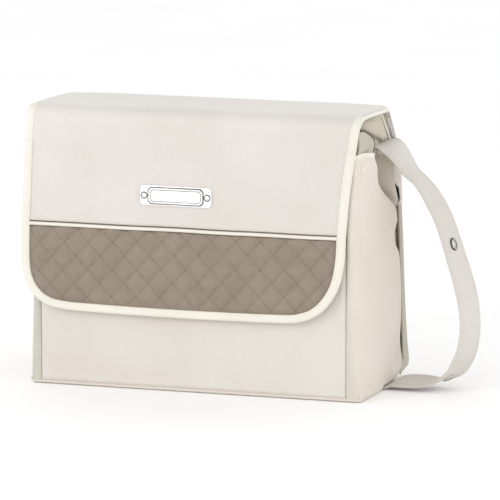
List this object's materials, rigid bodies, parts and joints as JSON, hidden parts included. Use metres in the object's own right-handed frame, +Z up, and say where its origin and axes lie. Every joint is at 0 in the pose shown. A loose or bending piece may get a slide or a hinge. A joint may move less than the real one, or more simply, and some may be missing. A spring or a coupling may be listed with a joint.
{
  "type": "changing bag",
  "caption": "Boxy ivory changing bag with a fold-over flap, quilted lower flap, slim metal plate, lined compartment, pockets and a looped shoulder strap.",
  "frame": {"origin": "on the floor, midway across the body's width and 80 mm behind the front panel's outer face", "axes": "+X to the viewer's right along the bag's width, -Y out of the front flap, +Z up"},
  "size_m": [0.4803, 0.1801, 0.3091],
  "materials": {
    "ivory_leatherette": "soft satin",
    "taupe_quilt": "matte",
    "binding_tape": "soft satin",
    "lining_cloth": "matte",
    "stiffener_board": "matte",
    "elastic": "matte",
    "snap_metal": "satin",
    "bright_metal": "polished"
  },
  "bodies": {
    "bag_body": {"front_panel": "ivory_leatherette", "back_panel": "ivory_leatherette", "gusset_left": "ivory_leatherette", "gusset_right": "ivory_leatherette", "base_panel": "ivory_leatherette", "front_stiffener": "stiffener_board", "back_stiffener": "stiffener_board", "base_board": "stiffener_board", "lining_front": "lining_cloth", "lining_back": "lining_cloth", "lining_left": "lining_cloth", "lining_right": "lining_cloth", "lining_base": "lining_cloth", "side_wing_left": "lining_cloth", "side_wing_right": "lining_cloth", "mouth_binding": "binding_tape", "gusset_binding": "binding_tape", "back_pocket": "ivory_leatherette", "back_pocket_binding": "binding_tape", "inner_pocket": "lining_cloth", "inner_pocket_elastic": "elastic", "body_magnets": "snap_metal", "gusset_snaps": "snap_metal", "strap_anchor_left": "ivory_leatherette", "strap_anchor_right": "ivory_leatherette", "hinge_fold": "ivory_leatherette"},
    "flap_top": {"flap_top_panel": "ivory_leatherette", "flap_top_stiffener": "stiffener_board", "flap_top_lining": "lining_cloth", "flap_top_binding": "binding_tape"},
    "flap_front": {"flap_front_panel": "ivory_leatherette", "flap_quilted_panel": "taupe_quilt", "flap_piping": "binding_tape", "flap_front_binding": "binding_tape", "flap_front_lining": "lining_cloth", "flap_stiffener": "stiffener_board", "flap_magnets": "snap_metal", "nameplate": "bright_metal", "nameplate_rivets": "bright_metal"},
    "strap": {"shoulder_strap": "ivory_leatherette", "strap_snap_caps": "snap_metal", "strap_snap_sockets": "snap_metal"}
  },
  "joints": [
    {"name": "flap_hinge", "type": "hinge", "parent": "bag_body", "child": "flap_top", "pos_m": [0, 0.0495, 0.3045], "axis": [-1, 0, 0], "range_deg": [0, 180]},
    {"name": "flap_crease", "type": "hinge", "parent": "flap_top", "child": "flap_front", "pos_m": [0, -0.0825, 0.3025], "axis": [-1, 0, 0], "range_deg": [0, 90]},
    {"name": "strap_swing", "type": "hinge", "parent": "bag_body", "child": "strap", "pos_m": [0, 0.019, 0.264], "axis": [1, 0, 0], "range_deg": [0, 180]}
  ]
}
